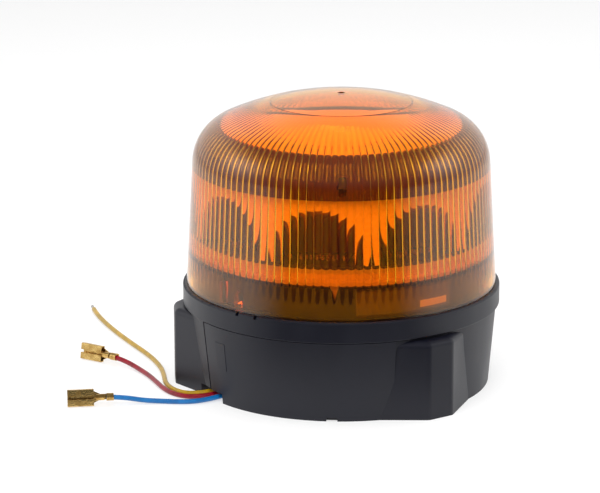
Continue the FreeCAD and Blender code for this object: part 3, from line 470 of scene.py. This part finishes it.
def lug(name, corners, bearing):
    """Upright lugs inside the rim: an outline (sideways, height) given a thickness outwards."""
    made = []
    for index in range(lug_count):
        bpy.ops.object.select_all(action="DESELECT")
        bpy.ops.mesh.primitive_circle_add(vertices=len(corners), fill_type="NGON")
        piece = bpy.context.object
        piece.name = f"{name}_{index}"
        for vertex, (side, level) in zip(piece.data.vertices, corners):
            vertex.co = (side, -lug_inner, level)
        bpy.ops.object.mode_set(mode="EDIT")
        bpy.ops.mesh.select_all(action="SELECT")
        bpy.ops.mesh.extrude_region_move(TRANSFORM_OT_translate={"value": (0, lug_inner - lug_outer, 0)})
        bpy.ops.mesh.select_all(action="SELECT")
        bpy.ops.mesh.normals_make_consistent(inside=False)
        bpy.ops.object.mode_set(mode="OBJECT")
        piece.data.transform(Matrix.Rotation(math.radians(bearing + 360 / lug_count * index), 4, "Z"))
        made.append(piece)
    return made


arrow = [(-0.0011, 0.0477), (0.0011, 0.0477), (0.0013, 0.0505), (0.0016, 0.0530), (0.0008, 0.0564),
         (-0.0019, 0.0499), (-0.0011, 0.0494)]
rib = [(-0.0006, 0.0477), (0.0006, 0.0477), (0.0006, 0.0580), (-0.0006, 0.0580)]
lugs = lug("snap_lug", arrow, -47.5) + lug("guide_rib", rib, -56.0)
bpy.ops.object.select_all(action="DESELECT")
for piece in lugs:
    piece.select_set(True)
lens.select_set(True)
bpy.context.view_layer.objects.active = lens
bpy.ops.object.join()
bpy.ops.object.shade_smooth_by_angle(angle=math.radians(27))

amber = Finish("amber_polycarbonate", Base_Color=(1.0, 0.42, 0.010), Transmission_Weight=1.0, IOR=1.58,
               Roughness=0.02)
passing = amber.tree.nodes.new("ShaderNodeBsdfTransparent")
passing.inputs[0].default_value = (1.0, 0.60, 0.10, 1.0)
chooser = amber.tree.nodes.new("ShaderNodeMixShader")
shadow = amber.tree.nodes.new("ShaderNodeLightPath")
amber.tree.links.new(shadow.outputs["Is Shadow Ray"], chooser.inputs[0])
amber.tree.links.new(amber.shader.outputs[0], chooser.inputs[1])
amber.tree.links.new(passing.outputs[0], chooser.inputs[2])
amber.tree.links.new(chooser.outputs[0], amber.tree.nodes["Material Output"].inputs[0])
lens.data.materials.clear()
lens.data.materials.append(amber.material)
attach(lens, "lens")
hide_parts("lens_dome")

# ---- Studio ----------------------------------------------------------------
# A pale table that glows a little. Black cards in front, standing and flat, and
# a bright card at each side stay out of the camera's direct view. Two broad soft
# lights and a graded white room fill the rest.

bpy.ops.mesh.primitive_plane_add(size=12.0, location=(0, 0, 0))
floor = bpy.context.object
floor.name = "floor"
table = Finish("white_table", Base_Color=(0.44, 0.44, 0.44), Roughness=0.9,
               Emission_Color=(1.0, 1.0, 1.0), Emission_Strength=0.55)
floor.data.materials.append(table.material)


def card(name, finish, bearings, start, end):
    """A card between two arcs, each a (reach, height), with no shadow and not seen directly."""
    bpy.ops.mesh.primitive_grid_add(x_subdivisions=24, y_subdivisions=2, size=1.0)
    piece = bpy.context.object
    piece.name = name
    for vertex in piece.data.vertices:
        bearing = math.radians(bearings[0] + (bearings[1] - bearings[0]) * (vertex.co.x + 0.5))
        share = vertex.co.y + 0.5
        reach = start[0] + (end[0] - start[0]) * share
        level = start[1] + (end[1] - start[1]) * share
        vertex.co = (math.sin(bearing) * reach, -math.cos(bearing) * reach, level)
    piece.data.materials.append(finish.material)
    piece.visible_camera = False
    piece.visible_shadow = False
    return piece


def faded(finish, kept):
    """Let a card's edges fade to clear, so that its reflection has no hard border."""
    tree = finish.tree
    clear = tree.nodes.new("ShaderNodeBsdfTransparent")
    edge = tree.nodes.new("ShaderNodeMixShader")
    feed(tree, edge.inputs[0], kept)
    tree.links.new(clear.outputs[0], edge.inputs[1])
    tree.links.new(finish.shader.outputs[0], edge.inputs[2])
    tree.links.new(edge.outputs[0], tree.nodes["Material Output"].inputs[0])


felt = Finish("black_felt", Base_Color=(0.03, 0.03, 0.03), Roughness=1.0, Specular_IOR_Level=0.0)
east, north, up = felt.axes()
turn = (east.math("ARCTAN2", north * -1.0) + math.radians(5.0)).math("ABSOLUTE")
reach = (east * east + north * north).math("SQRT")
side_fade, top_fade, near_fade = (0.60, 1.20), (0.05, 0.45), (0.09, 0.16)
kept = (1 - turn.step(*side_fade)) * (1 - up.step(*top_fade)) * reach.step(*near_fade)
faded(felt, kept)
front = (-75, 65)
near, middle, top = (0.09, 0.001), (0.95, 0.001), (0.95, 0.46)
standing = card("dark_card", felt, front, middle, top)
standing.visible_diffuse = False
flat = card("dark_apron", felt, front, near, middle)
flat.visible_diffuse = False
flat.visible_transmission = False

glow_half_span = 32
glow_height = 0.46
for side, middle in (("left", -92), ("right", 82)):
    glow = Finish(side + "_glow", Base_Color=(0.0, 0.0, 0.0), Roughness=1.0, Specular_IOR_Level=0.0)
    east, north, up = glow.axes()
    turn = (east.math("ARCTAN2", north * -1.0) - math.radians(middle)).math("ABSOLUTE")
    tall = (up - glow_height).math("ABSOLUTE")
    fade = (1 - turn.step(0.0, 0.55)) * (1 - tall.step(0.0, 0.40))
    glow.set(Emission_Color=(1.0, 1.0, 1.0), Emission_Strength=2.2)
    faded(glow, fade)
    span = (middle - glow_half_span, middle + glow_half_span)
    card(side + "_soft_card", glow, span, (0.85, 0.0), (0.85, 0.90))


def soft_box(name, bearing, rise, reach, width, height, power):
    """A rectangular soft light that faces the beacon and is not reflected in it."""
    out = Vector((math.sin(math.radians(bearing)) * math.cos(math.radians(rise)),
                  -math.cos(math.radians(bearing)) * math.cos(math.radians(rise)),
                  math.sin(math.radians(rise))))
    bpy.ops.object.light_add(type="AREA", location=out * reach + Vector((0, 0, 0.07)),
                             rotation=out.to_track_quat("Z", "Y").to_euler())
    light = bpy.context.object
    light.name = name
    light.data.shape = "RECTANGLE"
    light.data.size = width
    light.data.size_y = height
    light.data.energy = power
    light.visible_glossy = False
    light.visible_camera = False


soft_box("front_fill", -15, 42, 1.2, 1.2, 0.9, 14.0)
soft_box("top_fill", 150, 75, 1.2, 1.0, 1.0, 9.0)

world = bpy.data.worlds.new("white_room")
bpy.context.scene.world = world
world.use_nodes = True
room = world.node_tree
split = room.nodes.new("ShaderNodeSeparateXYZ")
room.links.new(room.nodes.new("ShaderNodeTexCoord").outputs["Generated"], split.inputs[0])
behind, above = Value(room, split.outputs[1]), Value(room, split.outputs[2])
backdrop = behind.step(-0.75, 0.35) * (1 - above.step(0.45, 0.85))
feed(room, room.nodes["Background"].inputs["Color"], (1.0, 1.0, 1.0))
feed(room, room.nodes["Background"].inputs["Strength"], backdrop * 0.75 + 0.25)
bpy.context.scene.view_settings.view_transform = "Standard"
bpy.context.scene.view_settings.look = "None"
